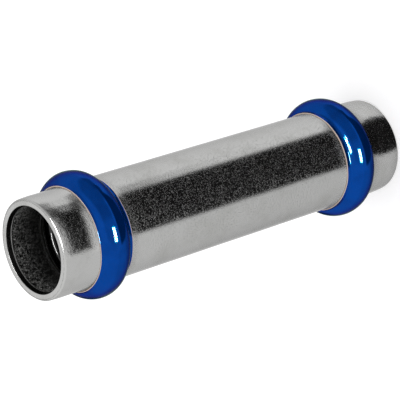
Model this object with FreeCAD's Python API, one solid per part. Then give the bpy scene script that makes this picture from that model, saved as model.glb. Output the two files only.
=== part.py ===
import FreeCAD, Part
import math
import os

# Press slip coupling for thin steel tube, in millimetres.
# It stands on its lower end: the axis is +Z and the origin is the middle of the lower end face.
# Each end has a collar that slides over the tube, then a rolled bead that holds a seal ring in its groove.
# The barrel between the two beads has no stop, so the coupling can slide right along a tube.
# A thin film is shrunk over the outside of each bead.
# Every outline is drawn as (radius, depth), with the depth measured from an end face into the coupling.

# Tube that the coupling is made for
TUBE_RADIUS = 7.5

# Tube wall of the coupling itself
COUPLING_LENGTH = 80.5
WALL = 1.5
COLLAR_PLAY = 0.15
BARREL_PLAY = 0.3

# Mouth of each collar
LEAD_IN_DEPTH = 1.05
LEAD_IN_WIDENING = 0.21
RIM_ROUND = 0.3

# Seal ring
SEAL_SECTION_RADIUS = 1.26
SEAL_STAND_OUT = 0.2
SEAL_TOP_PLAY = 0.02
SEAL_SIDE_PLAY = 0.21

# Bead, which is the groove on the inside and the round swelling on the outside
BEAD_DEPTH = 10.5
BEAD_WALL_THINNING = 0.12
GROOVE_SHOULDER_RADIUS = 2.2
BEAD_FOOT_RADIUS_COLLAR = 1.02
BEAD_FOOT_RADIUS_BARREL = 0.68

# Indicator film
FILM_THICKNESS = 0.14
FILM_GAP = 0.01
FILM_REACH_COLLAR = 3.22
FILM_REACH_BARREL = 3.77

# Sizes that follow from the ones above
COLLAR_BORE = TUBE_RADIUS + COLLAR_PLAY
COLLAR_RADIUS = COLLAR_BORE + WALL
BARREL_BORE = TUBE_RADIUS + BARREL_PLAY
BARREL_RADIUS = BARREL_BORE + WALL
SEAL_CENTRE_RADIUS = COLLAR_BORE - SEAL_STAND_OUT + SEAL_SECTION_RADIUS
GROOVE_BOTTOM = SEAL_CENTRE_RADIUS + SEAL_SECTION_RADIUS + SEAL_TOP_PLAY
GROOVE_ARC = SEAL_SECTION_RADIUS + SEAL_SIDE_PLAY
BEAD_CENTRE_RADIUS = GROOVE_BOTTOM - GROOVE_ARC
BEAD_ARC = GROOVE_ARC + WALL - BEAD_WALL_THINNING

AXIS_POINT = FreeCAD.Vector(0, 0, 0)
AXIS = FreeCAD.Vector(0, 0, 1)
FULL_TURN = 360


def lower_end(radius, depth):
    """Point of the half plane X, Z at a depth above the lower end face."""
    return FreeCAD.Vector(radius, 0, depth)


def upper_end(radius, depth):
    """Point of the half plane X, Z at a depth below the upper end face."""
    return FreeCAD.Vector(radius, 0, COUPLING_LENGTH - depth)


def line(place, start, end):
    """Straight edge between two (radius, depth) points."""
    return Part.LineSegment(place(*start), place(*end)).toShape()


def arc(place, start, middle, end):
    """Round edge through three (radius, depth) points."""
    return Part.Arc(place(*start), place(*middle), place(*end)).toShape()


def foot(base_radius, bead_arc, foot_radius, side):
    """Round foot that joins a straight wall to the bead and touches both.

    The wall lies at base_radius and the bead is a circle about its centre.
    side is -1 towards the collar and 1 towards the barrel.
    Gives the foot's end on the wall, its middle and its end on the bead.
    """
    rise = base_radius + foot_radius - BEAD_CENTRE_RADIUS
    run = math.sqrt((bead_arc + foot_radius) ** 2 - rise ** 2)
    centre = (base_radius + foot_radius, BEAD_DEPTH + side * run)
    on_wall = (base_radius, centre[1])
    share = bead_arc / (bead_arc + foot_radius)
    on_bead = (BEAD_CENTRE_RADIUS + share * rise, BEAD_DEPTH + share * side * run)
    chord = ((on_wall[0] + on_bead[0]) / 2 - centre[0], (on_wall[1] + on_bead[1]) / 2 - centre[1])
    stretch = foot_radius / math.hypot(*chord)
    middle = (centre[0] + stretch * chord[0], centre[1] + stretch * chord[1])
    return on_wall, middle, on_bead


def bead_line(place, collar_radius, barrel_radius, bead_arc, collar_foot, barrel_foot):
    """The three arcs of one bead and the two points where they meet the straight walls."""
    collar_end, collar_middle, bead_start = foot(collar_radius, bead_arc, collar_foot, -1)
    barrel_end, barrel_middle, bead_end = foot(barrel_radius, bead_arc, barrel_foot, 1)
    bead_top = (BEAD_CENTRE_RADIUS + bead_arc, BEAD_DEPTH)
    arcs = [
        arc(place, collar_end, collar_middle, bead_start),
        arc(place, bead_start, bead_top, bead_end),
        arc(place, bead_end, barrel_middle, barrel_end),
    ]
    return arcs, collar_end, barrel_end


def outer_bead(place, gap):
    """Outside of one bead, grown outwards by a gap so that the film can use the same line."""
    return bead_line(
        place,
        COLLAR_RADIUS + gap,
        BARREL_RADIUS + gap,
        BEAD_ARC + gap,
        BEAD_FOOT_RADIUS_COLLAR - gap,
        BEAD_FOOT_RADIUS_BARREL - gap,
    )


def rim_line(place, outer_wall_start, inner_wall_start):
    """Rounded rim of one collar, from its outer wall over the end face and down the lead-in."""
    slant = RIM_ROUND * (1 - math.sqrt(0.5))
    round_start = (COLLAR_RADIUS, RIM_ROUND)
    round_middle = (COLLAR_RADIUS - slant, slant)
    round_end = (COLLAR_RADIUS - RIM_ROUND, 0)
    mouth_edge = (COLLAR_BORE + LEAD_IN_WIDENING, 0)
    lead_in_end = (COLLAR_BORE, LEAD_IN_DEPTH)
    return [
        line(place, outer_wall_start, round_start),
        arc(place, round_start, round_middle, round_end),
        line(place, round_end, mouth_edge),
        line(place, mouth_edge, lead_in_end),
        line(place, lead_in_end, inner_wall_start),
    ]


def turned(edges):
    """Solid made by turning a closed outline about the axis."""
    outline = Part.Wire(Part.__sortEdges__(edges))
    return Part.Face(outline).revolve(AXIS_POINT, AXIS, FULL_TURN)


def coupling_body():
    """Collars, beads and barrel, formed from one length of tube."""
    edges = []
    outer_ends = []
    inner_ends = []
    for place in (lower_end, upper_end):
        outer_arcs, outer_collar, outer_barrel = outer_bead(place, 0)
        inner_arcs, inner_collar, inner_barrel = bead_line(
            place, COLLAR_BORE, BARREL_BORE, GROOVE_ARC, GROOVE_SHOULDER_RADIUS, GROOVE_SHOULDER_RADIUS
        )
        edges += outer_arcs + inner_arcs + rim_line(place, outer_collar, inner_collar)
        outer_ends.append(place(*outer_barrel))
        inner_ends.append(place(*inner_barrel))
    edges.append(Part.LineSegment(*outer_ends).toShape())
    edges.append(Part.LineSegment(*inner_ends).toShape())
    return turned(edges)


def seal_ring(place):
    """Round seal ring that sits at the bottom of one groove."""
    centre = place(0, BEAD_DEPTH)
    return Part.makeTorus(SEAL_CENTRE_RADIUS, SEAL_SECTION_RADIUS, centre, AXIS)


def bead_cover(place, gap):
    """Solid inside the bead's outer line grown by a gap, reaching past both edges of the film."""
    arcs, collar_end, barrel_end = outer_bead(place, gap)
    near = (0, collar_end[1] - FILM_REACH_COLLAR)
    far = (0, barrel_end[1] + FILM_REACH_BARREL)
    edges = arcs + [
        line(place, collar_end, (collar_end[0], near[1])),
        line(place, (collar_end[0], near[1]), near),
        line(place, near, far),
        line(place, far, (barrel_end[0], far[1])),
        line(place, (barrel_end[0], far[1]), barrel_end),
    ]
    return turned(edges)


def indicator_sleeve(place):
    """Film over one bead: a skin of even thickness, cut off square at both edges."""
    skin = bead_cover(place, FILM_GAP + FILM_THICKNESS).cut(bead_cover(place, FILM_GAP))
    band_start = place(0, BEAD_DEPTH - FILM_REACH_COLLAR)
    band_end = place(0, BEAD_DEPTH + FILM_REACH_BARREL)
    band = Part.makeCylinder(
        BEAD_CENTRE_RADIUS + 2 * BEAD_ARC, (band_end - band_start).Length, band_start, band_end - band_start
    )
    return skin.common(band)


def save(node, shape):
    """Write one sub-part after checking that it is a single sound solid."""
    if not shape.isValid() or len(shape.Solids) != 1:
        raise ValueError(node + " is not one sound solid")
    solid = shape.Solids[0]
    solid.exportStep(os.path.join("parts", node + ".step"))
    print(node, "volume", round(solid.Volume, 1), "mm3")


os.makedirs("parts", exist_ok=True)
save("coupling_body", coupling_body())
for end_name, end_place in (("lower", lower_end), ("upper", upper_end)):
    save(end_name + "_seal_ring", seal_ring(end_place))
    save(end_name + "_indicator_sleeve", indicator_sleeve(end_place))
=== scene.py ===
"""Finished surfaces and stage for a press slip coupling that stands on its end.

The coupling is one formed steel tube with a collar and a bead at each end, a rubber seal ring inside each
bead and a blue film shrunk over it. Each outline is drawn as (radius, depth), with the depth measured from
an end face into the coupling, and is turned about the axis.
"""

import math
from types import SimpleNamespace

import bpy
import numpy as np
from mathutils import Euler, Matrix, Vector


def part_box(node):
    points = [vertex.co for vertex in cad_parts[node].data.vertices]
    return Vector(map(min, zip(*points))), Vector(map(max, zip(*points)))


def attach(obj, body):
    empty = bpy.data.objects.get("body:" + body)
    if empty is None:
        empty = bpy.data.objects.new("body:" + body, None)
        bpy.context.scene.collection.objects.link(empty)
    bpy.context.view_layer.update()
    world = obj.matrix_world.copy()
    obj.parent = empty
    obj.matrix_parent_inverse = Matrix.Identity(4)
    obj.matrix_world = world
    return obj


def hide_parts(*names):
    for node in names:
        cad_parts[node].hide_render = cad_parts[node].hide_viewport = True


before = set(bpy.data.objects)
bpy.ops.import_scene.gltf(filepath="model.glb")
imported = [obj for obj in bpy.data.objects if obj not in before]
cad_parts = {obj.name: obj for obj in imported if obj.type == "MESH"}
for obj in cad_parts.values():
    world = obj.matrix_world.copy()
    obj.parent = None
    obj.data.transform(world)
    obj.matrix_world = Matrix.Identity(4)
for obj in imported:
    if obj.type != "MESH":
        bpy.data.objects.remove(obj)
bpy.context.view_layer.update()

bl_info = {
    "name": "Press slip coupling",
    "version": (1, 0, 0),
    "blender": (4, 5, 0),
    "location": "View3D > Sidebar > Coupling",
    "description": "Makes the finished surfaces of a press slip coupling and its stage",
    "category": "Object",
}

MM = 0.001
TURN = 2 * math.pi
BODY = "root"

# Points around each piece, on each foot and on the bead of the outside and of the groove, around a seal
# ring's section, and on the rounding of a film's cut edge
AROUND = 160
BEAD_POINTS = (10, 49)
GROOVE_POINTS = (20, 25)
SECTION_POINTS = 48
EDGE_POINTS = 5

# Fine ridges in the bore: width of the one where the lead-in ends, then the distances past the groove's
# start and the width of the two at its edge
LEAD_IN_RIDGE_WIDTH = 0.09 * MM
GROOVE_RIDGES = (0.3 * MM, 0.9 * MM)
GROOVE_RIDGE_WIDTH = 0.12 * MM

# Strip of the barrel that the rolling tool pressed on: its distance past the bead's foot, and its width
WORKED_DISTANCE = 1.3 * MM
WORKED_WIDTH = 0.8 * MM

# Depth where the bore's finish begins, the length over which one finish becomes the next, and the length
# over which the collar's finish ends on the bead
FACE_DEPTH = 0.02 * MM
FINISH_FADE = 0.1 * MM
SIZED_FADE = 2 * MM

# Painted shade that darkens the bore deeper inside: depth where it begins, length over which it grows,
# and the share that it reaches
SCALE_START = 1.2 * MM
SCALE_REACH = 5 * MM
MOST_SCALE = 0.85

# Lengths from an edge over which the tube's waves and the film's unevenness grow to their full height, and
# over which the wandering cut and the lift of its loose stretch die away
RIM_FADE = 3 * MM
SKIN_FADE = 0.8 * MM
CUT_FADE = 1.2 * MM
LIFT_FADE = 0.4 * MM

# Loose stretch of the upper film's edge. Its middle lies 14 degrees from the camera side towards +X. By the
# cosine of the angle from there, it ends at 0.74, which is 42 degrees, and is full from 0.94, which is 20.
LOOSE_MIDDLE = math.radians(14 - 90)
LOOSE_END = 0.74
LOOSE_FADE = 0.2

# Slow waves: how many of each go around, and their angle along the axis in radians per metre, which makes
# them 15 to 105 mm long. A film adds 0 to its seeds at the lower end and 1 at the upper end.
WAVES_AROUND = (1, 2, 3, 5, 7)
WAVE_RATES = (60, 420)
TUBE_SEED = 4
COLLAR_EDGE_SEED = 11
BARREL_EDGE_SEED = 21
SKIN_SEED = 31

# Half the side of the floor, the middle of the light tent, whose radius is 1 m, the share of white by which
# the floor glows for the camera, the distance from each lamp to the point that it aims at, and the width of
# the camera's sensor in mm
FLOOR_REACH = 1.5
TENT_MIDDLE = (0, 0, 40 * MM)
FLOOR_GLOW = 0.33
LAMP_DISTANCE = 0.3
SENSOR_WIDTH = 36

# The film lamps are warm, because the blue film takes most of the red away, and white comes back
WARM = (1, 0.15, 0.045)
WHITE = (1, 1, 1)

# Lamps: name, setting that holds its power, azimuth and elevation in degrees as seen from its aim, width and
# height in mm, height of its aim on the axis in mm, tint, and the collection of pieces that it lights
LAMPS = (
    ("softbox", "softbox", -15, 1, 125, 100, 72, WARM, "film_pieces"),
    ("high_window", "window", 44, 74, 35, 60, 12, WARM, "lower_film"),
    ("low_window", "window", 6, 77, 50, 60, 12, WARM, "lower_film"),
    ("seal_light", "seal_light", 0, 64, 200, 15, 70, WHITE, "seal_pieces"),
    ("mouth_light", "mouth_light", 30, 66, 200, 200, 78, WHITE, "steel_pieces"),
)

# Shades printed on the tent: first and last azimuth, lower edge at these two, upper edge at these two,
# softness of the edges, and the brightness that it leaves. All angles are in degrees. Azimuth 0 is towards
# the camera and grows towards +X. The steel wall mirrors what lies as far below the horizon as the viewer
# is above it.
SHADES = (
    (-150, -36, (-80, -80), (-34, -34), 12, 0.76),
    (97, 170, (-12, -12), (100, 100), 10, 0.8),
    (-30, 97, (-14, -14), (58, 58), 12, 0.75),
    (12, 97, (-14, -14), (52, 52), 14, 0.5),
    (45, 97, (-20, -20), (22, 22), 10, 0.45),
    (66, 97, (-27, -29), (-6, -6), 8, 0.3),
    (50, 78, (-34.5, -34.5), (-20, -20), 4, 0.1),
    (-130, -40, (-34.5, -34.5), (-8, -8), 4, 0.84),
    (165, 215, (-26, -26), (-4, -4), 8, 0.1),
    (-180, 180, (-95, -95), (-52, -52), 14, 0.5),
    (-35.5, 62, (-95, -95), (-25, -21), 8, 0.01),
)


def linear(hex_colour):
    """Linear colour with alpha from an sRGB hex value such as 'b4b4b2', by the curve of that standard."""
    channels = [int(hex_colour[i:i + 2], 16) / 255 for i in (0, 2, 4)]
    return (*(c / 12.92 if c <= 0.04045 else ((c + 0.055) / 1.055) ** 2.4 for c in channels), 1.0)


def size(name, description, millimetres):
    """Property for one length of the coupling."""
    return bpy.props.FloatProperty(
        name=name, description=description, default=millimetres * MM, unit="LENGTH"
    )


def colour(name, description, hex_colour):
    """Property for one colour."""
    return bpy.props.FloatVectorProperty(
        name=name, description=description, default=linear(hex_colour), size=4, subtype="COLOR",
        min=0, max=1,
    )


def angle(name, description, degrees):
    """Property for one angle."""
    return bpy.props.FloatProperty(
        name=name, description=description, default=math.radians(degrees), subtype="ANGLE"
    )


def power(name, description, watts):
    """Property for the power of a lamp."""
    return bpy.props.FloatProperty(
        name=name, description=description, default=watts, min=0, unit="POWER"
    )


class CouplingSizes(bpy.types.PropertyGroup):
    """Sizes of the steel tube, its mouths and its beads."""

    length: size("Length", "From end face to end face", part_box("coupling_body")[1].z / MM)
    tube_radius: size("Tube radius", "Tube that the coupling is made for", 7.5)
    wall: size("Wall", "Wall of the coupling", 1.5)
    collar_play: size("Collar play", "Gap between tube and collar", 0.15)
    barrel_play: size("Barrel play", "Gap between tube and barrel", 0.3)
    lead_in_depth: size("Lead-in depth", "Length of the tapered mouth", 1.05)
    lead_in_widening: size("Lead-in widening", "How much wider the mouth is than the collar's bore", 0.21)
    rim_round: size("Rim round", "Rounding of the rim's outer corner", 0.3)
    deburring: size("Deburring", "Rounding of the mouth's corner", 0.05)
    bead_depth: size("Bead depth", "From the end face to the middle of the bead", 10.5)
    bead_thinning: size("Bead thinning", "Wall lost where the bead was rolled", 0.12)
    shoulder: size("Groove shoulder", "Rounding between bore and groove", 2.2)
    collar_foot: size("Collar foot", "Hollow rounding from collar to bead", 1.02)
    barrel_foot: size("Barrel foot", "Hollow rounding from barrel to bead", 0.68)
    drawn_in: size("Drawn in", "How far the cut drew in the collar's last edge", 0.14)
    drawn_reach: size("Drawn reach", "How much of the collar is drawn in", 2.6)
    ridge: size("Ridge", "Height of the rolled edges at the lead-in's end and the groove's start", 0.05)
    flare: size("Flare", "How far the rolled bead raised the tube on both sides", 0.15)
    flare_reach: size("Flare reach", "How much of the tube is raised on each side", 2.2)
    waviness: size("Waviness", "Height of the slow waves that forming left", 0.012)


class SealSizes(bpy.types.PropertyGroup):
    """Sizes of the seal ring and its seat."""

    section_radius: size("Section radius", "Half the thickness of the ring", 1.26)
    stand_out: size("Stand out", "How far the ring reaches into the bore", 0.2)
    top_play: size("Top play", "Gap between ring and groove bottom", 0.02)
    side_play: size("Side play", "How much rounder the groove is than the ring", 0.21)


class FilmSizes(bpy.types.PropertyGroup):
    """Sizes of the indicator film over each bead."""

    thickness: size("Thickness", "Thickness of the film", 0.14)
    gap: size("Gap", "Gap between film and steel", 0.01)
    collar_reach: size("Collar reach", "From the bead's middle to the film's edge on the collar", 3.22)
    barrel_reach: size("Barrel reach", "From the bead's middle to the film's edge on the barrel", 3.77)
    edge_wave: size("Edge wave", "How far the cut edge wanders", 0.07)
    unevenness: size("Unevenness", "How far the outer skin swells and sinks", 0.014)
    lift: size("Lift", "How far a loose stretch of the edge stands off the barrel", 0.07)


class FinishColours(bpy.types.PropertyGroup):
    """Colours of the coupling's materials."""

    steel: colour("Steel", "Pickled steel in the light", "c0c0bf")
    steel_stain: colour("Steel stain", "Duller patches that pickling left", "b6b6b4")
    bore: colour("Bore", "Steel inside, with the scale left by drawing", "b8b8b6")
    # The pit colour serves the random pits, and deeper in the bore it is painted shade too
    bore_pit: colour("Bore pit", "Dark scale in the pits of the bore", "262625")
    # The lead-in's dark colour is painted shade: it stands for the dark that the taper mirrors
    lead_in: colour("Lead-in", "Taper of the mouth, dark from the cutting oil", "3c3c3b")
    film: colour("Film", "Blue dyed film over steel", "004298")
    film_deep: colour("Film depth", "Film where it lies thicker", "003b8b")
    # The cut edge's pale colour is partly its own and partly a painted highlight along its rounding
    cut_edge: colour("Cut edge", "Cut edge of the film", "d9c7bb")
    rubber: colour("Rubber", "Seal ring", "0c0c0d")
    floor: colour("Floor", "Matt white floor", "f2f2f2")


class StageSettings(bpy.types.PropertyGroup):
    """Place of the camera and strength of the light."""

    look_at: bpy.props.FloatVectorProperty(
        name="Look at", description="Point in the middle of the picture", subtype="XYZ", unit="LENGTH",
        default=(-0.446 * MM, 3.735 * MM, 40.0 * MM),
    )
    distance: size("Distance", "From the camera to the point that it looks at", 362.816)
    elevation: angle("Elevation", "Height of the camera above the floor", 37.80)
    roll: angle(
        "Roll", "Turn about the line of sight, which lays the coupling across the picture", -107.624
    )
    lens: bpy.props.FloatProperty(
        name="Lens", description="Focal length on a 36 mm sensor", default=177.034, unit="CAMERA"
    )
    surroundings: bpy.props.FloatProperty(
        name="Surroundings", description="Strength of the white surroundings", default=1.0, min=0
    )
    softbox: power("Softbox", "Power of the softbox that the films mirror", 15.0)
    window: power("Window", "Power of each lamp over the lower film", 3.4)
    seal_light: power("Seal light", "Power of the lamp that the seal rings mirror", 0.8)
    mouth_light: power("Mouth light", "Power of the lamp that shines into the bore", 1.0)


def tube_sizes(scene):
    """Radii that follow from the panel's sizes."""
    tube, seal = scene.coupling_sizes, scene.seal_sizes
    collar_bore = tube.tube_radius + tube.collar_play
    barrel_bore = tube.tube_radius + tube.barrel_play
    seal_centre = collar_bore - seal.stand_out + seal.section_radius
    groove_arc = seal.section_radius + seal.side_play
    return SimpleNamespace(
        collar_bore=collar_bore,
        barrel_bore=barrel_bore,
        collar=collar_bore + tube.wall,
        barrel=barrel_bore + tube.wall,
        seal_centre=seal_centre,
        groove_arc=groove_arc,
        bead_centre=seal_centre + seal.section_radius + seal.top_play - groove_arc,
        bead_arc=groove_arc + tube.wall - tube.bead_thinning,
    )


def arc(centre, radius, first, last, count):
    """Points on a circle, from angle first to last: centre + radius (cos a, sin a) in (radius, depth)."""
    turn = np.linspace(first, last, count)
    return np.stack([centre[0] + radius * np.cos(turn), centre[1] + radius * np.sin(turn)], axis=1)


def straight(start, end, count):
    """Evenly spaced points between two points, without the two themselves."""
    t = np.linspace(0, 1, count + 2)[1:-1, None]
    return np.array(start) * (1 - t) + np.array(end) * t


def smooth_step(value):
    """0 below 0, 1 above 1 and 3 v^2 - 2 v^3 between them."""
    value = np.clip(value, 0, 1)
    return value * value * (3 - 2 * value)


def bell(value, middle, width):
    """Bell curve, 1 in the middle: exp(-((value - middle) / width)^2)."""
    return np.exp(-((value - middle) / width) ** 2)


def bead_line(collar, barrel, centre, bead_arc, collar_foot, barrel_foot, counts):
    """Collar foot, bead and barrel foot as three arcs that touch each other, and the depth of both ends.

    A foot touches the wall at its own radius and the bead from outside, so its centre is one foot radius off
    the wall and the sum of both radii from the bead's centre. The angle of that line is where foot and bead
    meet. counts holds the points of each foot and of the bead.
    """
    lean = []
    centres = []
    for wall, foot, side in ((collar, collar_foot, -1), (barrel, barrel_foot, 1)):
        rise = wall + foot - centre[0]
        run = math.sqrt((bead_arc + foot) ** 2 - rise ** 2)
        lean.append(math.atan2(run, rise))
        centres.append((wall + foot, centre[1] + side * run))
    line = np.concatenate([
        arc(centres[0], collar_foot, math.pi, math.pi - lean[0], counts[0]),
        arc(centre, bead_arc, -lean[0], lean[1], counts[1])[1:-1],
        arc(centres[1], barrel_foot, lean[1] - math.pi, -math.pi, counts[0]),
    ])
    return line, centres[0][1], centres[1][1]


def formed(line, scene, collar_end, barrel_end):
    """Outside as forming left it: the collar drawn in at its rim, and the tube raised beside the bead.

    Each changes the radius by a parabola, (1 - distance / reach)^2, that ends level with the straight wall.
    """
    tube = scene.coupling_sizes
    depth = line[:, 1]
    drawn = np.clip(1 - depth / tube.drawn_reach, 0, 1) ** 2
    away = np.maximum(collar_end - depth, depth - barrel_end)
    raised = np.clip(1 - np.maximum(away, 0) / tube.flare_reach, 0, 1) ** 2
    # The bead itself keeps its height: the raise fades out from both feet to its top
    foot = np.where(depth < tube.bead_depth, tube.bead_depth - collar_end, barrel_end - tube.bead_depth)
    raised = raised * np.where(away < 0, smooth_step(np.abs(depth - tube.bead_depth) / foot), 1)
    line[:, 0] += tube.flare * raised - tube.drawn_in * drawn
    return line


def outer_line(scene, gap):
    """Outside of one end, collar to barrel, grown outwards by a gap, and the depths where the feet end."""
    tube, at = scene.coupling_sizes, tube_sizes(scene)
    return bead_line(
        at.collar + gap, at.barrel + gap, (at.bead_centre, tube.bead_depth), at.bead_arc + gap,
        tube.collar_foot - gap, tube.barrel_foot - gap, BEAD_POINTS,
    )


def tube_outline(scene):
    """Closed outline of the tube as (radius, height), up the outside and down the bore.

    With it come six numbers for each point. Four are 0 on the outside and the rims: inside is 1 in the bore,
    lead_in is 1 on the taper of the mouth, which is painted dark as shade, ridge is 1 on the rolled edges,
    which are painted bright as highlights, and deep grows with the depth and darkens the bore as painted
    shade. Two are 0 in the bore: worked is 1 where the rolling tool pressed on the barrel beside the bead,
    and sized is 1 on the collar.
    """
    tube, at = scene.coupling_sizes, tube_sizes(scene)
    middle = tube.length / 2
    bead, collar_end, barrel_end = outer_line(scene, 0)
    rim = arc((at.collar - tube.rim_round, tube.rim_round), tube.rim_round, -math.pi / 2, 0, 8)
    flared = barrel_end + tube.flare_reach
    outside = formed(np.concatenate([
        rim,
        straight(rim[-1], bead[0], 36),
        bead,
        straight(bead[-1], (at.barrel, flared), 16),
        straight((at.barrel, flared), (at.barrel, middle), 26),
    ]), scene, collar_end, barrel_end)
    mouth = at.collar_bore + tube.lead_in_widening
    taper = math.atan2(tube.lead_in_widening, tube.lead_in_depth)
    groove, groove_start, _ = bead_line(
        at.collar_bore, at.barrel_bore, (at.bead_centre, tube.bead_depth), at.groove_arc,
        tube.shoulder, tube.shoulder, GROOVE_POINTS,
    )
    corner = arc(
        (mouth + tube.deburring, tube.deburring), tube.deburring, -math.pi / 2, taper - math.pi, 6
    )
    # Points lie closer together where the lead-in's ridge is, down to 1.4 times its depth
    lead_in_end = (at.collar_bore, tube.lead_in_depth)
    past_ridge = (at.collar_bore, 1.4 * tube.lead_in_depth)
    inside = np.concatenate([
        straight((at.collar - tube.rim_round, 0), corner[0], 6),
        corner,
        straight(corner[-1], lead_in_end, 20),
        straight(lead_in_end, past_ridge, 10),
        straight(past_ridge, groove[0], 10),
        groove,
        straight(groove[-1], (at.barrel_bore, middle), 18),
    ])
    # The sharp edges where the taper ends and where the groove begins were rolled into fine ridges
    depth = inside[:, 1]
    ridges = bell(depth, tube.lead_in_depth, LEAD_IN_RIDGE_WIDTH)
    for distance in GROOVE_RIDGES:
        ridges = ridges + bell(depth, groove_start + distance, GROOVE_RIDGE_WIDTH)
    inside[:, 0] -= tube.ridge * ridges
    outline = np.concatenate([
        outside, mirrored(outside, tube.length)[::-1], mirrored(inside, tube.length), inside[::-1],
    ])
    in_bore = smooth_step((depth - FACE_DEPTH) / FINISH_FADE)
    marks = {
        "inside": in_bore,
        "lead_in": in_bore * smooth_step((tube.lead_in_depth - depth) / FINISH_FADE),
        "ridge": np.clip(ridges, 0, 1),
        # Painted shade that grows deeper in the bore
        "deep": MOST_SCALE * smooth_step((depth - SCALE_START) / SCALE_REACH),
    }
    outer, inner = np.zeros(2 * len(outside)), np.zeros(2 * len(inside))
    marks = {name: np.concatenate([outer, mark, mark[::-1]]) for name, mark in marks.items()}
    pressed = bell(outside[:, 1] - barrel_end, WORKED_DISTANCE, WORKED_WIDTH)
    on_collar = smooth_step((tube.bead_depth - outside[:, 1]) / SIZED_FADE)
    for name, mark in (("worked", pressed), ("sized", on_collar)):
        marks[name] = np.concatenate([mark, mark[::-1], inner])
    return outline, marks


def mirrored(line, length):
    """The same outline at the upper end: each depth becomes a height of the length less the depth."""
    return np.stack([line[:, 0], length - line[:, 1]], axis=1)


def slow_waves(height, turn, seed):
    """Slow uneven waves from -1 to 1: the mean of sines with whole waves around and random phases."""
    random = np.random.default_rng(seed)
    total = np.zeros(np.broadcast(height, turn).shape)
    for around in WAVES_AROUND:
        along, phase = random.uniform(*WAVE_RATES), random.uniform(0, TURN)
        total = total + np.sin(around * turn + along * height + phase) / len(WAVES_AROUND)
    return total


def turned(name, radius, height):
    """Closed surface turned about the axis: x = r cos a, y = r sin a, z = h for each row and angle a.

    radius and height are grids of outline points by angles. The last row joins the first row, and the last
    angle joins the first angle.
    """
    rows, columns = radius.shape
    turn = np.arange(columns) * TURN / columns
    points = np.stack([radius * np.cos(turn), radius * np.sin(turn), height], axis=-1)
    number = np.arange(rows * columns).reshape(rows, columns)
    right, up = np.roll(number, -1, axis=1), np.roll(number, -1, axis=0)
    faces = np.stack([number, right, np.roll(right, -1, axis=0), up], axis=-1).reshape(-1, 4)
    mesh = bpy.data.meshes.new(name)
    mesh.vertices.add(rows * columns)
    mesh.vertices.foreach_set("co", points.astype(np.float32).ravel())
    mesh.loops.add(faces.size)
    mesh.loops.foreach_set("vertex_index", faces.astype(np.int32).ravel())
    mesh.polygons.add(len(faces))
    mesh.polygons.foreach_set("loop_start", np.arange(0, faces.size, 4, dtype=np.int32))
    mesh.update(calc_edges=True)
    mesh.shade_smooth()
    piece = bpy.data.objects.new(name, mesh)
    bpy.context.scene.collection.objects.link(piece)
    return piece


def paint(piece, attribute, values):
    """Give each vertex a number that the material reads."""
    layer = piece.data.attributes.new(attribute, "FLOAT", "POINT")
    layer.data.foreach_set("value", np.ascontiguousarray(values, dtype=np.float32).ravel())


def settle(piece, node, material):
    """Finish a piece: it stands for its CAD node, rides on the body and takes its material."""
    piece.data.materials.append(material)
    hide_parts(node)
    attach(piece, BODY)


def add_node(tree, kind, settings, inputs):
    """Add one shader node with its own settings. Each input is a value, or an output to be linked to it."""
    node = tree.nodes.new(kind)
    for name, value in settings.items():
        setattr(node, name, value)
    for name, value in inputs.items():
        if isinstance(value, bpy.types.NodeSocket):
            tree.links.new(value, node.inputs[name])
        else:
            node.inputs[name].default_value = value
    return node


def new_material(name):
    """Empty node material."""
    material = bpy.data.materials.new(name)
    material.use_nodes = True
    material.node_tree.nodes.clear()
    return material, material.node_tree


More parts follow.
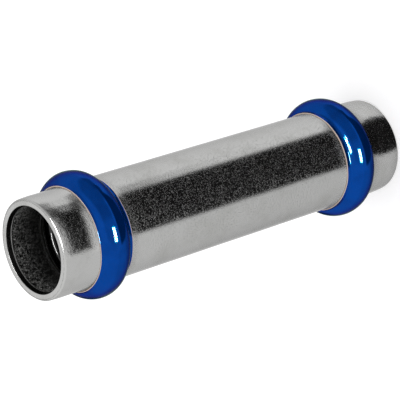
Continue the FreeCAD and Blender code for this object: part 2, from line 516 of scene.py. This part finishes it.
def pickled_stainless_steel(colours):
    """Cold formed stainless tube, annealed and pickled in acid.

    Pickling etches the grain, so the surface is satin and not mirror bright: a dark reflection keeps its
    shape with a fuzzy edge, single grains sparkle in it, and cloudy patches stay where the acid worked
    unevenly.
    """
    material, tree = new_material("pickled_stainless_steel")
    place = add_node(tree, "ShaderNodeTexCoord", {}, {}).outputs["Object"]
    inside, lead_in, ridge, deep, worked, sized = (
        add_node(tree, "ShaderNodeAttribute", {"attribute_name": name}, {}).outputs["Fac"]
        for name in ("inside", "lead_in", "ridge", "deep", "worked", "sized")
    )

    # Etched grain of about 0.16 mm, coarser than the real 0.05 mm so that it shows
    grain = add_node(tree, "ShaderNodeTexNoise", {}, {
        "Vector": place, "Scale": 1 / (0.16 * MM), "Detail": 1.0, "Roughness": 0.5,
    })
    # Single grains that were etched deeper and scatter the light, which shows as sparkle in a dark
    # reflection and hardly at all in a light one. They are 0.1 mm across, coarser than the real 0.05 mm so
    # that they show.
    flake = add_node(tree, "ShaderNodeTexVoronoi", {}, {"Vector": place, "Scale": 1 / (0.1 * MM)})
    flake_pick = add_node(tree, "ShaderNodeSeparateColor", {}, {"Color": flake.outputs["Color"]})
    # Pressing the collar to size over a mandrel smoothed most of them
    etch_depth = add_node(tree, "ShaderNodeMapRange", {}, {"Value": sized, "To Min": 0.44, "To Max": 0.19})
    etched = add_node(tree, "ShaderNodeMapRange", {"interpolation_type": "SMOOTHSTEP"}, {
        "Value": flake_pick.outputs["Red"], "From Min": 0.7, "From Max": 1.0,
        "To Max": etch_depth.outputs["Result"],
    })
    # Clouds of 5 mm from uneven pickling
    clouds = add_node(tree, "ShaderNodeTexNoise", {}, {
        "Vector": place, "Scale": 1 / (5 * MM), "Detail": 4.0, "Roughness": 0.65,
    })
    stain = add_node(tree, "ShaderNodeMapRange", {"interpolation_type": "SMOOTHSTEP"}, {
        "Value": clouds.outputs["Fac"], "From Min": 0.42, "From Max": 0.75,
    })
    skin = add_node(tree, "ShaderNodeMix", {"data_type": "RGBA"}, {
        0: stain.outputs["Result"], 6: colours.steel, 7: colours.steel_stain,
    })
    # Pits that drawing left in the bore, 0.2 mm across, which is coarser than real ones so that they show
    pit_cells = add_node(tree, "ShaderNodeTexVoronoi", {}, {"Vector": place, "Scale": 1 / (0.2 * MM)})
    pit_pick = add_node(tree, "ShaderNodeSeparateColor", {}, {"Color": pit_cells.outputs["Color"]})
    pits = add_node(tree, "ShaderNodeMapRange", {}, {
        "Value": pit_pick.outputs["Blue"], "From Min": 0.3, "From Max": 0.8,
    })
    pitted = add_node(tree, "ShaderNodeMix", {"data_type": "RGBA"}, {
        0: pits.outputs["Result"], 6: colours.bore_pit, 7: colours.bore,
    })
    # Painted shade: deeper inside, the bore turns towards the pit colour
    scaled = add_node(tree, "ShaderNodeMix", {"data_type": "RGBA"}, {
        0: deep, 6: pitted.outputs[2], 7: colours.bore_pit,
    })
    # Painted shade: the taper of the mouth takes the dark lead-in colour
    drawn = add_node(tree, "ShaderNodeMix", {"data_type": "RGBA"}, {
        0: lead_in, 6: scaled.outputs[2], 7: colours.lead_in,
    })
    # Painted highlight: the rolled ridges take the lighter outer steel colour and show as bright lines
    shine = add_node(tree, "ShaderNodeMix", {"data_type": "RGBA"}, {
        0: ridge, 6: drawn.outputs[2], 7: colours.steel,
    })
    surface = add_node(tree, "ShaderNodeMix", {"data_type": "RGBA"}, {
        0: inside, 6: skin.outputs[2], 7: shine.outputs[2],
    })
    cloudy = add_node(tree, "ShaderNodeMapRange", {}, {
        "Value": clouds.outputs["Fac"], "From Min": 0.3, "From Max": 0.7, "To Min": 0.06, "To Max": 0.09,
    })
    # The mandrel left the collar evenly dull
    even = add_node(tree, "ShaderNodeMath", {"operation": "MULTIPLY_ADD"}, {
        0: sized, 1: 0.04, 2: cloudy.outputs["Result"],
    })
    grained = add_node(tree, "ShaderNodeMath", {"operation": "ADD"}, {
        0: even.outputs["Value"], 1: etched.outputs["Result"],
    })
    # The rolling tool left the steel beside the bead duller, grain by grain
    dulled = add_node(tree, "ShaderNodeMath", {"operation": "MULTIPLY"}, {
        0: worked, 1: flake_pick.outputs["Blue"],
    })
    roughness = add_node(tree, "ShaderNodeMath", {"operation": "MULTIPLY_ADD"}, {
        0: dulled.outputs["Value"], 1: 0.3, 2: grained.outputs["Value"],
    })
    # Each grain of the bore scatters differently, and the cut taper is smooth
    bore_grain = add_node(tree, "ShaderNodeMapRange", {}, {
        "Value": pit_pick.outputs["Green"], "To Min": 0.3, "To Max": 0.85,
    })
    tapered = add_node(tree, "ShaderNodeMix", {"data_type": "FLOAT"}, {
        0: lead_in, 2: bore_grain.outputs["Result"], 3: 0.2,
    })
    bore_roughness = add_node(tree, "ShaderNodeMix", {"data_type": "FLOAT"}, {
        0: ridge, 2: tapered.outputs[0], 3: 0.3,
    })
    worn = add_node(tree, "ShaderNodeMix", {"data_type": "FLOAT"}, {
        0: inside, 2: roughness.outputs["Value"], 3: bore_roughness.outputs[0],
    })
    # The bore keeps the coarser skin of the drawn tube
    height = add_node(tree, "ShaderNodeMapRange", {}, {
        "Value": inside, "To Min": 0.012, "To Max": 0.03,
    })
    relief = add_node(tree, "ShaderNodeMath", {"operation": "MULTIPLY"}, {
        0: grain.outputs["Fac"], 1: height.outputs["Result"],
    })
    # Shallow dents of 0.8 mm where the collar was pressed to size
    dents = add_node(tree, "ShaderNodeTexNoise", {}, {
        "Vector": place, "Scale": 1 / (0.8 * MM), "Detail": 2.0, "Roughness": 0.6,
    })
    dent_height = add_node(tree, "ShaderNodeMath", {"operation": "MULTIPLY"}, {0: sized, 1: 0.02})
    dented = add_node(tree, "ShaderNodeMath", {"operation": "MULTIPLY_ADD"}, {
        0: dents.outputs["Fac"], 1: dent_height.outputs["Value"], 2: relief.outputs["Value"],
    })
    bump = add_node(tree, "ShaderNodeBump", {}, {
        "Strength": 1.0, "Distance": MM, "Height": dented.outputs["Value"],
    })
    # Etched steel mirrors a little less at a flat angle than a polished one
    steel = add_node(tree, "ShaderNodeBsdfPrincipled", {}, {
        "Base Color": surface.outputs[2], "Metallic": 1.0, "Roughness": worn.outputs[0],
        "Specular Tint": linear("d0d0d0"), "Normal": bump.outputs["Normal"],
    })
    add_node(tree, "ShaderNodeOutputMaterial", {}, {"Surface": steel.outputs["BSDF"]})
    return material


def dyed_shrink_film(colours):
    """Blue dyed polyolefin film, blown thin and shrunk with heat over the bead.

    Light passes the clear dye, is mirrored by the steel below and comes back deep blue, while the film's
    own smooth skin adds sharp white highlights. The cut edge is painted pale, partly as its own colour and
    partly as a painted highlight along its rounding.
    """
    material, tree = new_material("dyed_shrink_film")
    place = add_node(tree, "ShaderNodeTexCoord", {}, {}).outputs["Object"]
    cut = add_node(tree, "ShaderNodeAttribute", {"attribute_name": "cut_edge"}, {}).outputs["Fac"]

    # Stretch marks that shrinking leaves around the bead, about 0.5 mm apart
    flat = add_node(tree, "ShaderNodeMapping", {}, {"Vector": place, "Scale": (0.12, 0.12, 1.0)})
    marks = add_node(tree, "ShaderNodeTexNoise", {}, {
        "Vector": flat.outputs["Vector"], "Scale": 1 / (0.5 * MM), "Detail": 2.0, "Roughness": 0.5,
    })
    # Dye and thickness differ in patches of 3 mm
    patches = add_node(tree, "ShaderNodeTexNoise", {}, {
        "Vector": place, "Scale": 1 / (3 * MM), "Detail": 3.0, "Roughness": 0.6,
    })
    thick = add_node(tree, "ShaderNodeMapRange", {"interpolation_type": "SMOOTHSTEP"}, {
        "Value": patches.outputs["Fac"], "From Min": 0.35, "From Max": 0.75,
    })
    dye = add_node(tree, "ShaderNodeMix", {"data_type": "RGBA"}, {
        0: thick.outputs["Result"], 6: colours.film, 7: colours.film_deep,
    })
    # The skin turns matt before it turns pale
    matt, pale = (
        add_node(tree, "ShaderNodeMapRange", {}, {
            "Value": cut, "From Min": start, "From Max": end,
        }).outputs["Result"]
        for start, end in ((0.0, 0.05), (0.05, 0.2))
    )
    # The pale cut edge is partly a painted highlight
    shade = add_node(tree, "ShaderNodeMix", {"data_type": "RGBA"}, {
        0: pale, 6: dye.outputs[2], 7: colours.cut_edge,
    })
    # Most light comes back from the steel, and a fifth is scattered in the film itself
    mirrored_share = add_node(tree, "ShaderNodeMix", {"data_type": "FLOAT"}, {0: matt, 2: 0.8, 3: 0.0})
    # The film's skin mirrors little from the front and more at a flat angle
    flatness = add_node(tree, "ShaderNodeLayerWeight", {}, {"Blend": 0.5}).outputs["Facing"]
    skin_gloss = add_node(tree, "ShaderNodeMapRange", {"interpolation_type": "SMOOTHSTEP"}, {
        "Value": flatness, "From Min": 0.55, "From Max": 0.9, "To Min": 0.08, "To Max": 0.26,
    })
    skin_share = add_node(tree, "ShaderNodeMix", {"data_type": "FLOAT"}, {
        0: matt, 2: skin_gloss.outputs["Result"], 3: 0.0,
    })
    bump = add_node(tree, "ShaderNodeBump", {}, {
        "Strength": 1.0, "Distance": 0.006 * MM, "Height": marks.outputs["Fac"],
    })
    # The specular tint keeps the film blue at a flat angle, where it would turn violet without it
    film = add_node(tree, "ShaderNodeBsdfPrincipled", {}, {
        "Base Color": shade.outputs[2], "Metallic": mirrored_share.outputs[0], "Roughness": 0.07,
        "Specular IOR Level": 0.0, "Specular Tint": linear("028c4a"), "Normal": bump.outputs["Normal"],
        "Coat Weight": skin_share.outputs[0], "Coat Roughness": 0.02, "Coat IOR": 1.5,
        "Coat Normal": bump.outputs["Normal"],
    })
    add_node(tree, "ShaderNodeOutputMaterial", {}, {"Surface": film.outputs["BSDF"]})
    return material


def greased_seal_rubber(colours):
    """Moulded black seal rubber, greased at the works so that the tube slides in.

    The grease gives soft bright highlights, and its smears change the gloss from place to place.
    """
    material, tree = new_material("greased_seal_rubber")
    place = add_node(tree, "ShaderNodeTexCoord", {}, {}).outputs["Object"]
    # Grease smears of about 1.5 mm
    smears = add_node(tree, "ShaderNodeTexNoise", {}, {
        "Vector": place, "Scale": 1 / (1.5 * MM), "Detail": 3.0, "Roughness": 0.6,
    })
    gloss = add_node(tree, "ShaderNodeMapRange", {}, {
        "Value": smears.outputs["Fac"], "From Min": 0.3, "From Max": 0.7, "To Min": 0.06, "To Max": 0.14,
    })
    bump = add_node(tree, "ShaderNodeBump", {}, {
        "Strength": 1.0, "Distance": 0.006 * MM, "Height": smears.outputs["Fac"],
    })
    rubber = add_node(tree, "ShaderNodeBsdfPrincipled", {}, {
        "Base Color": colours.rubber, "Roughness": gloss.outputs["Result"], "IOR": 1.5,
        "Normal": bump.outputs["Normal"],
    })
    add_node(tree, "ShaderNodeOutputMaterial", {}, {"Surface": rubber.outputs["BSDF"]})
    return material


def matt_white_floor(colours):
    """Matt white board.

    The camera alone sees it glow a little, so that it looks white and still holds the shadow.
    """
    material, tree = new_material("matt_white_floor")
    place = add_node(tree, "ShaderNodeTexCoord", {}, {}).outputs["Object"]
    # Paper tooth of 2 mm
    tooth = add_node(tree, "ShaderNodeTexNoise", {}, {
        "Vector": place, "Scale": 1 / (2 * MM), "Detail": 2.0,
    })
    bump = add_node(tree, "ShaderNodeBump", {}, {
        "Strength": 0.1, "Distance": 0.02 * MM, "Height": tooth.outputs["Fac"],
    })
    board = add_node(tree, "ShaderNodeBsdfDiffuse", {}, {
        "Color": colours.floor, "Normal": bump.outputs["Normal"],
    })
    seen = add_node(tree, "ShaderNodeLightPath", {}, {}).outputs["Is Camera Ray"]
    lift = add_node(tree, "ShaderNodeMath", {"operation": "MULTIPLY"}, {0: seen, 1: FLOOR_GLOW})
    glow = add_node(tree, "ShaderNodeEmission", {}, {
        "Color": (1, 1, 1, 1), "Strength": lift.outputs["Value"],
    })
    both = add_node(tree, "ShaderNodeAddShader", {}, {
        0: board.outputs["BSDF"], 1: glow.outputs["Emission"],
    })
    add_node(tree, "ShaderNodeOutputMaterial", {}, {"Surface": both.outputs["Shader"]})
    return material


def printed_tent():
    """Light tent whose cloth is printed in greys. It glows by the number that each point carries."""
    material, tree = new_material("printed_tent")
    grey = add_node(tree, "ShaderNodeAttribute", {"attribute_name": "brightness"}, {})
    glow = add_node(tree, "ShaderNodeEmission", {}, {
        "Color": (1, 1, 1, 1), "Strength": grey.outputs["Fac"],
    })
    add_node(tree, "ShaderNodeOutputMaterial", {}, {"Surface": glow.outputs["Emission"]})
    # The tent is large and even, so the renderer need not aim at its faces
    material.cycles.emission_sampling = "NONE"
    return material


def tent_brightness(azimuth, elevation):
    """Brightness of the tent in a direction in degrees: white, with soft-edged shades that darken it.

    A shade's share is a product of four smooth steps, one over each of its edges. The shades act in turn.
    """
    bright = np.ones_like(azimuth)
    for first, last, lower, upper, soft, level in SHADES:
        along = (azimuth - (first + last) / 2 + 180) % 360 - 180
        half = (last - first) / 2
        t = np.clip(along / half / 2 + 0.5, 0, 1)
        low = lower[0] + (lower[1] - lower[0]) * t
        high = upper[0] + (upper[1] - upper[0]) * t
        share = np.ones_like(azimuth)
        for inward in (half - along, half + along, elevation - low, high - elevation):
            share = share * smooth_step(inward / soft + 0.5)
        bright = bright + (level - bright) * share
    return bright


def direction(azimuth, elevation):
    """Unit vectors (sin az cos el, -cos az cos el, sin el) for angles in degrees."""
    azimuth, elevation = np.radians(azimuth), np.radians(elevation)
    across = np.cos(elevation)
    return np.stack([np.sin(azimuth) * across, -np.cos(azimuth) * across, np.sin(elevation)], axis=-1)


def seen_in_reflections_only(piece):
    """Keep a stage piece out of sight, so that only glossy surfaces mirror it."""
    for kind in ("camera", "diffuse", "transmission", "volume_scatter", "shadow"):
        setattr(piece, "visible_" + kind, False)


def open_surface(name, points, material):
    """Surface of the stage through a grid of points, with one face between each four neighbours."""
    number = np.arange(points[..., 0].size).reshape(points.shape[:2])
    faces = np.stack([number[:-1, :-1], number[:-1, 1:], number[1:, 1:], number[1:, :-1]], axis=-1)
    mesh = bpy.data.meshes.new(name)
    mesh.from_pydata(points.reshape(-1, 3).tolist(), [], faces.reshape(-1, 4).tolist())
    mesh.materials.append(material)
    piece = bpy.data.objects.new(name, mesh)
    bpy.context.scene.collection.objects.link(piece)
    return piece


def light_tent():
    """Sphere about the coupling with a point every 2 degrees, which glows as tent_brightness says."""
    azimuth, elevation = np.meshgrid(np.linspace(-180, 180, 181), np.linspace(-90, 90, 91))
    points = direction(azimuth, elevation) + np.array(TENT_MIDDLE)
    tent = open_surface("tent", points, printed_tent())
    paint(tent, "brightness", tent_brightness(azimuth, elevation))
    seen_in_reflections_only(tent)


def small_softbox(name, watts, azimuth, elevation, width, height, aim_height, tint, pieces):
    """Rectangular lamp that aims at a point on the axis and lights only the pieces of one collection."""
    lamp = bpy.data.lights.new(name, "AREA")
    lamp.energy, lamp.color = watts, tint
    lamp.shape, lamp.size, lamp.size_y = "RECTANGLE", width * MM, height * MM
    softbox = bpy.data.objects.new(name, lamp)
    bpy.context.scene.collection.objects.link(softbox)
    outwards = Vector(direction(azimuth, elevation))
    softbox.matrix_world = (
        Matrix.Translation(Vector((0, 0, aim_height * MM)) + LAMP_DISTANCE * outwards)
        @ outwards.to_track_quat("Z", "Y").to_matrix().to_4x4()
    )
    lit = bpy.data.collections.get(pieces) or bpy.data.collections.new(pieces)
    softbox.light_linking.receiver_collection = lit
    seen_in_reflections_only(softbox)


class COUPLING_OT_steel_tube(bpy.types.Operator):
    """Make the steel tube with its collars, beads and grooves"""

    bl_idname = "coupling.steel_tube"
    bl_label = "Steel tube"

    def execute(self, context):
        scene = context.scene
        outline, marks = tube_outline(scene)
        turn = np.arange(AROUND) * TURN / AROUND
        height = np.repeat(outline[:, 1:], AROUND, axis=1)
        # Waves fade out towards the rims, whose faces stay flat
        fade = smooth_step(np.minimum(height, scene.coupling_sizes.length - height) / RIM_FADE)
        radius = outline[:, :1] + scene.coupling_sizes.waviness * fade * slow_waves(height, turn, TUBE_SEED)
        tube = turned("steel_tube", radius, height)
        for name, mark in marks.items():
            paint(tube, name, np.repeat(mark[:, None], AROUND, axis=1))
        settle(tube, "coupling_body", pickled_stainless_steel(scene.finish_colours))
        bpy.data.collections["steel_pieces"].objects.link(tube)
        return {"FINISHED"}


class COUPLING_OT_seal_rings(bpy.types.Operator):
    """Make the rubber seal ring in each bead"""

    bl_idname = "coupling.seal_rings"
    bl_label = "Seal rings"

    def execute(self, context):
        scene = context.scene
        at = tube_sizes(scene)
        tube = scene.coupling_sizes
        section_radius = scene.seal_sizes.section_radius
        section = arc((at.seal_centre, 0), section_radius, 0, TURN, SECTION_POINTS + 1)[:-1]
        rubber = greased_seal_rubber(scene.finish_colours)
        for end, height in (("lower", tube.bead_depth), ("upper", tube.length - tube.bead_depth)):
            ring = turned(
                end + "_rubber_ring",
                np.repeat(section[:, :1], AROUND, axis=1),
                np.repeat(section[:, 1:] + height, AROUND, axis=1),
            )
            settle(ring, end + "_seal_ring", rubber)
            bpy.data.collections["seal_pieces"].objects.link(ring)
        return {"FINISHED"}


def film_outline(scene):
    """Closed outline of one film as (radius, depth), outer skin from collar to barrel and inner skin back.

    With it come two numbers for each point and the depths of both edges. cut is 0 on the skins and 1 on the
    rounded cut edges. free is 1 on the outer skin away from its edges, and 0 elsewhere.
    """
    tube, film, at = scene.coupling_sizes, scene.film_sizes, tube_sizes(scene)
    near, far = tube.bead_depth - film.collar_reach, tube.bead_depth + film.barrel_reach
    half = film.thickness / 2
    skins = []
    for gap in (film.gap + film.thickness, film.gap):
        bead, collar_end, barrel_end = outer_line(scene, gap)
        last = (at.barrel + gap, far - half)
        line = np.concatenate([bead, straight(bead[-1], last, 10), [last]])
        line = line[line[:, 1] > near + half]
        cut = np.interp(near + half, bead[:, 1], bead[:, 0])
        line = formed(np.concatenate([[(cut, near + half)], line]), scene, collar_end, barrel_end)
        skins.append(line)
    outer, inner = skins
    edges = []
    for one, two, side in ((outer[-1], inner[-1], 1), (inner[0], outer[0], -1)):
        middle, spoke = (one + two) / 2, (one - two) / 2
        turn = np.linspace(0, math.pi, EDGE_POINTS + 2)[1:-1, None]
        edges.append(middle + spoke * np.cos(turn) + side * half * np.array([0, 1]) * np.sin(turn))
    line = np.concatenate([outer, edges[0], inner[::-1], edges[1]])
    cut = np.zeros(len(line))
    # The last stretch of the outer skin takes the pale cut edge colour too, partly as a painted highlight
    cut[len(outer) - 1:len(outer) + EDGE_POINTS] = 1
    cut[-EDGE_POINTS:] = 1
    free = np.zeros(len(line))
    inwards = np.minimum(outer[:, 1] - near, far - outer[:, 1])
    free[:len(outer)] = smooth_step(inwards / SKIN_FADE)
    return line, cut, free, near, far


class COUPLING_OT_indicator_films(bpy.types.Operator):
    """Make the blue film over each bead"""

    bl_idname = "coupling.indicator_films"
    bl_label = "Indicator films"

    def execute(self, context):
        scene = context.scene
        tube, sizes = scene.coupling_sizes, scene.film_sizes
        line, cut, free, near, far = film_outline(scene)
        turn = np.arange(AROUND) * TURN / AROUND
        depth = line[:, 1:]
        # The cut wanders along the axis, most at the edge and not at all on the bead
        by_collar = smooth_step(1 - (depth - near) / CUT_FADE)
        by_barrel = smooth_step(1 - (far - depth) / CUT_FADE)
        film_material = dyed_shrink_film(scene.finish_colours)
        for number, end in enumerate(("lower", "upper")):
            wander = sizes.edge_wave * (
                by_collar * slow_waves(0.0, turn, COLLAR_EDGE_SEED + number)
                + by_barrel * slow_waves(0.0, 2 * turn, BARREL_EDGE_SEED + number)
            )
            # The upper film has one loose stretch of its barrel edge
            loose = 0 * turn
            if end == "upper":
                loose = smooth_step((np.cos(turn - LOOSE_MIDDLE) - LOOSE_END) / LOOSE_FADE)
            last = smooth_step(1 - (far - depth) / LIFT_FADE)
            swell = sizes.unevenness * free[:, None] * slow_waves(depth, 2 * turn, SKIN_SEED + number)
            radius = line[:, :1] + sizes.lift * loose * last + swell
            place = depth + wander
            height = place if end == "lower" else tube.length - place
            if end == "upper":
                radius, height = radius[::-1], height[::-1]
            film = turned(end + "_indicator_film", radius, height)
            marks = np.repeat(cut[:, None], AROUND, axis=1)
            paint(film, "cut_edge", marks[::-1] if end == "upper" else marks)
            settle(film, end + "_indicator_sleeve", film_material)
            bpy.data.collections["film_pieces"].objects.link(film)
            if end == "lower":
                bpy.data.collections["lower_film"].objects.link(film)
        return {"FINISHED"}


class COUPLING_OT_stage(bpy.types.Operator):
    """Set up the floor, the white surroundings, the light tent, the lamps and the camera"""

    bl_idname = "coupling.stage"
    bl_label = "Stage"

    def execute(self, context):
        scene = context.scene
        settings = scene.stage_settings

        side = np.linspace(-FLOOR_REACH, FLOOR_REACH, 5)
        u, v = np.meshgrid(side, side)
        points = np.stack([u, v, np.zeros_like(u)], axis=-1)
        floor = open_surface("floor", points, matt_white_floor(scene.finish_colours))
        # The coupling mirrors the light tent instead of the floor
        floor.visible_glossy = False

        world = bpy.data.worlds.new("white_surroundings")
        world.use_nodes = True
        world.node_tree.nodes.clear()
        sky = add_node(world.node_tree, "ShaderNodeBackground", {}, {
            "Color": (1, 1, 1, 1), "Strength": settings.surroundings,
        })
        add_node(world.node_tree, "ShaderNodeOutputWorld", {}, {"Surface": sky.outputs["Background"]})
        scene.world = world

        light_tent()
        for name, setting, *rest in LAMPS:
            small_softbox(name, getattr(settings, setting), *rest)

        camera = bpy.data.cameras.new("camera")
        camera.lens = settings.lens
        camera.sensor_width = SENSOR_WIDTH
        camera.clip_start = 0.01
        viewer = bpy.data.objects.new("camera", camera)
        scene.collection.objects.link(viewer)
        aim = Euler((math.pi / 2 - settings.elevation, 0, 0)).to_matrix()
        viewer.matrix_world = (
            Matrix.Translation(Vector(settings.look_at) + aim @ Vector((0, 0, settings.distance)))
            @ (aim @ Matrix.Rotation(settings.roll, 3, "Z")).to_4x4()
        )
        scene.camera = viewer
        scene.view_settings.view_transform = "Standard"
        return {"FINISHED"}


class COUPLING_PT_panel(bpy.types.Panel):
    """Sizes, colours and makers of the coupling."""

    bl_idname = "COUPLING_PT_panel"
    bl_label = "Press slip coupling"
    bl_space_type = "VIEW_3D"
    bl_region_type = "UI"
    bl_category = "Coupling"

    def draw(self, context):
        for group in GROUPS:
            box = self.layout.box()
            settings = getattr(context.scene, group)
            for name in settings.bl_rna.properties.keys():
                if name not in ("rna_type", "name"):
                    box.prop(settings, name)
        for operator in OPERATORS:
            self.layout.operator(operator.bl_idname)


GROUPS = {
    "coupling_sizes": CouplingSizes,
    "seal_sizes": SealSizes,
    "film_sizes": FilmSizes,
    "finish_colours": FinishColours,
    "stage_settings": StageSettings,
}
OPERATORS = (
    COUPLING_OT_stage, COUPLING_OT_steel_tube, COUPLING_OT_seal_rings, COUPLING_OT_indicator_films,
)


def register():
    for name, group in GROUPS.items():
        bpy.utils.register_class(group)
        setattr(bpy.types.Scene, name, bpy.props.PointerProperty(type=group))
    for made in (*OPERATORS, COUPLING_PT_panel):
        bpy.utils.register_class(made)


def unregister():
    for made in (COUPLING_PT_panel, *reversed(OPERATORS)):
        bpy.utils.unregister_class(made)
    for name, group in reversed(GROUPS.items()):
        delattr(bpy.types.Scene, name)
        bpy.utils.unregister_class(group)


def main():
    register()
    bpy.ops.coupling.stage()
    bpy.ops.coupling.steel_tube()
    bpy.ops.coupling.seal_rings()
    bpy.ops.coupling.indicator_films()


if __name__ == "__main__":
    main()
